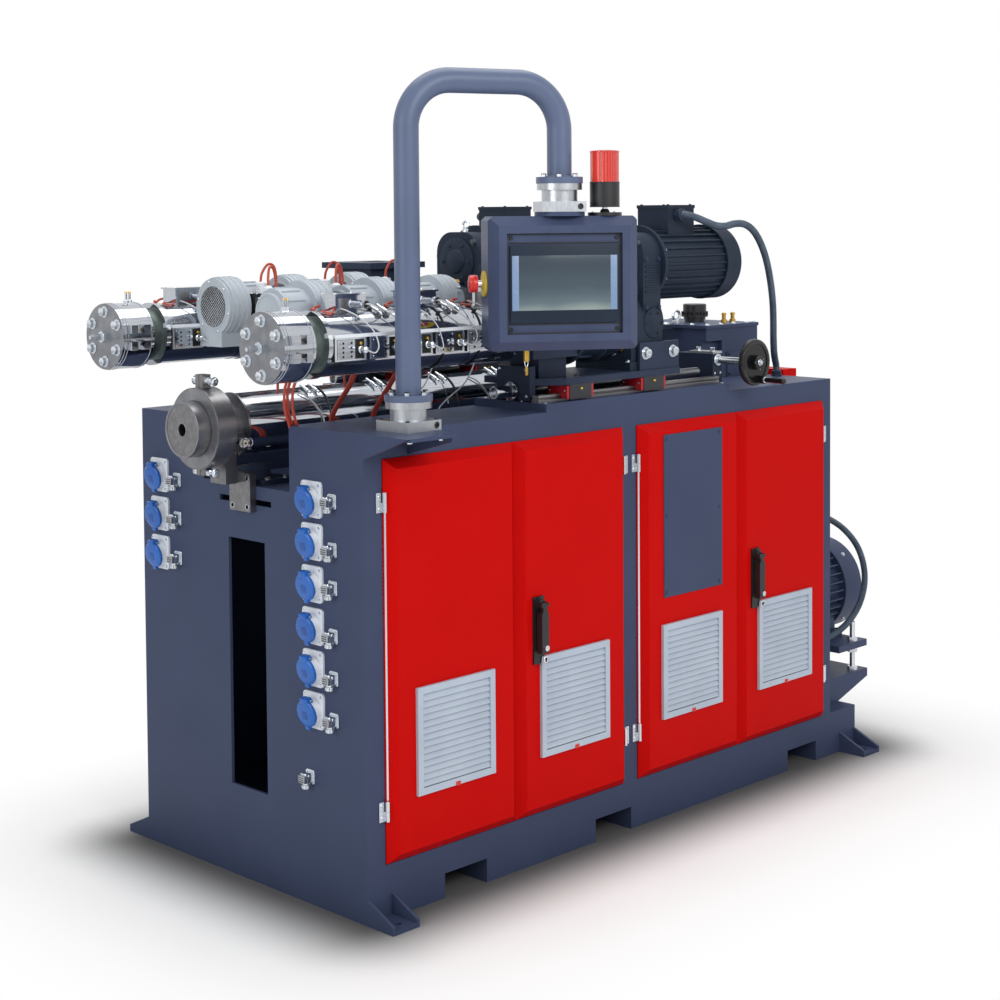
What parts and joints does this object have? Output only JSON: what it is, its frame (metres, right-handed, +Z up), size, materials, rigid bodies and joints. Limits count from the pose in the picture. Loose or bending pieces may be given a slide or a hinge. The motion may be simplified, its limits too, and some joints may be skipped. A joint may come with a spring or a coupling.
{
  "type": "co-extruder",
  "caption": "Compact co-extrusion machine: doored cabinet, low extruder in the deck, two small extruders on hand-cranked slides, swing-arm operator panel",
  "frame": {"origin": "floor point midway between the four anchor holes", "axes": "+X from the dies to the main motor, +Y from the doors to the far side, +Z up"},
  "size_m": [2.367, 1.264, 1.924],
  "materials": {
    "slate_paint": "satin",
    "red_paint": "satin",
    "grille_plastic": "matte",
    "socket_plastic": "gloss",
    "bright_steel": "machined",
    "polished_steel": "polished",
    "cast_alu": "painted light grey",
    "zinc_plate": "galvanised",
    "black_plastic": "matte",
    "rubber_black": "matte",
    "cast_iron": "machined",
    "screen_glass": "gloss",
    "red_plastic": "gloss"
  },
  "bodies": {
    "base": {"base_frame": "slate_paint", "end_plate": "slate_paint", "cabinet_frame": "slate_paint", "control_panel": "zinc_plate", "deck_trough": "slate_paint", "arm_pedestal": "slate_paint", "slide_platforms": "slate_paint", "slide_rails": "bright_steel", "wall_sockets": "socket_plastic", "hinges": "bright_steel", "main_barrel": "bright_steel", "main_shroud": "polished_steel", "main_clamp": "bright_steel", "barrel_support": "bright_steel", "main_gearbox": "slate_paint", "belt_guard": "red_paint", "drive_belts": "rubber_black", "main_motor": "slate_paint", "motor_mount": "slate_paint", "main_conduit": "rubber_black", "near_conduit": "rubber_black", "far_conduit": "rubber_black"},
    "door_1": {"door_1": "red_paint", "door_1_fittings": "grille_plastic"},
    "door_2": {"door_2": "red_paint", "door_2_fittings": "grille_plastic"},
    "door_3": {"door_3": "red_paint", "door_3_fittings": "grille_plastic"},
    "door_4": {"door_4": "red_paint", "door_4_fittings": "grille_plastic"},
    "spindle_2": {"spindle_2": "black_plastic"},
    "lever_2": {"lever_2": "black_plastic"},
    "spindle_4": {"spindle_4": "black_plastic"},
    "lever_4": {"lever_4": "black_plastic"},
    "arm": {"arm_tube": "slate_paint"},
    "hmi": {"hmi_head": "slate_paint", "hmi_screen": "screen_glass", "beacon": "black_plastic"},
    "estop": {"estop_button": "red_plastic"},
    "main_screw": {"main_screw": "bright_steel"},
    "input_shaft": {"gearbox_pulley": "cast_iron"},
    "motor_rotor": {"motor_pulley": "cast_iron"},
    "near_unit": {"near_barrel": "bright_steel", "near_shroud": "polished_steel", "near_blowers": "cast_alu", "near_gearmotor": "slate_paint", "near_carriage": "slate_paint", "near_guide_blocks": "black_plastic"},
    "near_lead_screw": {"near_lead_screw": "bright_steel"},
    "near_handwheel": {"near_handwheel": "black_plastic"},
    "near_screw": {"near_screw": "bright_steel"},
    "far_unit": {"far_barrel": "bright_steel", "far_shroud": "polished_steel", "far_blowers": "cast_alu", "far_gearmotor": "slate_paint", "far_carriage": "slate_paint", "far_guide_blocks": "black_plastic"},
    "far_lead_screw": {"far_lead_screw": "bright_steel"},
    "far_handwheel": {"far_handwheel": "black_plastic"},
    "far_screw": {"far_screw": "bright_steel"}
  },
  "joints": [
    {"name": "door_1_hinge", "type": "hinge", "parent": "base", "child": "door_1", "pos_m": [-0.9076, -0.434, 0.6], "axis": [0, 0, 1], "range_deg": [-110, 0]},
    {"name": "door_2_hinge", "type": "hinge", "parent": "base", "child": "door_2", "pos_m": [-0.0908, -0.434, 0.6], "axis": [0, 0, 1], "range_deg": [0, 75]},
    {"name": "door_3_hinge", "type": "hinge", "parent": "base", "child": "door_3", "pos_m": [-0.0346, -0.434, 0.6], "axis": [0, 0, 1], "range_deg": [-75, 0]},
    {"name": "door_4_hinge", "type": "hinge", "parent": "base", "child": "door_4", "pos_m": [0.7873, -0.434, 0.6], "axis": [0, 0, 1], "range_deg": [0, 110]},
    {"name": "handle_2_turn", "type": "hinge", "parent": "door_2", "child": "spindle_2", "pos_m": [-0.431, -0.465, 0.65], "axis": [0, 1, 0], "range_deg": [-90, 0]},
    {"name": "handle_2_lift", "type": "hinge", "parent": "spindle_2", "child": "lever_2", "pos_m": [-0.431, -0.471, 0.65], "axis": [1, 0, 0], "range_deg": [-60, 0]},
    {"name": "handle_4_turn", "type": "hinge", "parent": "door_4", "child": "spindle_4", "pos_m": [0.437, -0.465, 0.65], "axis": [0, 1, 0], "range_deg": [-90, 0]},
    {"name": "handle_4_lift", "type": "hinge", "parent": "spindle_4", "child": "lever_4", "pos_m": [0.437, -0.471, 0.65], "axis": [1, 0, 0], "range_deg": [-60, 0]},
    {"name": "arm_swing", "type": "hinge", "parent": "base", "child": "arm", "pos_m": [-0.837, -0.439, 1.173], "axis": [0, 0, 1], "range_deg": [-90, 0]},
    {"name": "panel_swivel", "type": "hinge", "parent": "arm", "child": "hmi", "pos_m": [-0.46281, -0.55914, 1.662], "axis": [0, 0, 1], "range_deg": [-10, 60]},
    {"name": "stop_push", "type": "slide", "parent": "hmi", "child": "estop", "axis": [0.829, -0.5592, 0], "range_m": [0, 0.006], "stiffness_N_per_m": 1000},
    {"name": "main_screw_spin", "type": "hinge", "parent": "base", "child": "main_screw", "pos_m": [-0.262, 0, 1.1], "axis": [1, 0, 0], "continuous": true},
    {"name": "input_spin", "type": "hinge", "parent": "base", "child": "input_shaft", "pos_m": [0.878, 0, 0.916], "axis": [1, 0, 0], "continuous": true},
    {"name": "motor_spin", "type": "hinge", "parent": "base", "child": "motor_rotor", "pos_m": [0.878, -0.162, 0.431], "axis": [1, 0, 0], "continuous": true},
    {"name": "near_slide", "type": "slide", "parent": "base", "child": "near_unit", "axis": [1, 0, 0], "range_m": [-0.04, 0.06], "deforming": ["near_conduit"]},
    {"name": "near_screw_turn", "type": "hinge", "parent": "base", "child": "near_lead_screw", "pos_m": [0.038, -0.305, 1.152], "axis": [1, 0, 0], "range_deg": [-1440, 2160]},
    {"name": "near_wheel_turn", "type": "hinge", "parent": "base", "child": "near_handwheel", "pos_m": [0.384, -0.424, 1.186], "axis": [0, 1, 0], "range_deg": [-1440, 2160]},
    {"name": "near_screw_spin", "type": "hinge", "parent": "near_unit", "child": "near_screw", "pos_m": [-0.462, -0.305, 1.303], "axis": [1, 0, 0], "continuous": true},
    {"name": "far_slide", "type": "slide", "parent": "base", "child": "far_unit", "axis": [1, 0, 0], "range_m": [-0.04, 0.06], "deforming": ["far_conduit"]},
    {"name": "far_screw_turn", "type": "hinge", "parent": "base", "child": "far_lead_screw", "pos_m": [0.038, 0.305, 1.152], "axis": [1, 0, 0], "range_deg": [-1440, 2160]},
    {"name": "far_wheel_turn", "type": "hinge", "parent": "base", "child": "far_handwheel", "pos_m": [0.384, 0.424, 1.186], "axis": [0, 1, 0], "range_deg": [-1440, 2160]},
    {"name": "far_screw_spin", "type": "hinge", "parent": "far_unit", "child": "far_screw", "pos_m": [-0.462, 0.305, 1.303], "axis": [1, 0, 0], "continuous": true}
  ],
  "couplings": [
    {"joint": "input_spin", "follows": "main_screw_spin", "ratio": -2.1208},
    {"joint": "motor_spin", "follows": "main_screw_spin", "ratio": -5.8009},
    {"joint": "near_screw_turn", "follows": "near_slide", "rad_per_m": 628.32},
    {"joint": "near_wheel_turn", "follows": "near_slide", "rad_per_m": 628.32},
    {"joint": "far_screw_turn", "follows": "far_slide", "rad_per_m": 628.32},
    {"joint": "far_wheel_turn", "follows": "far_slide", "rad_per_m": 628.32}
  ]
}
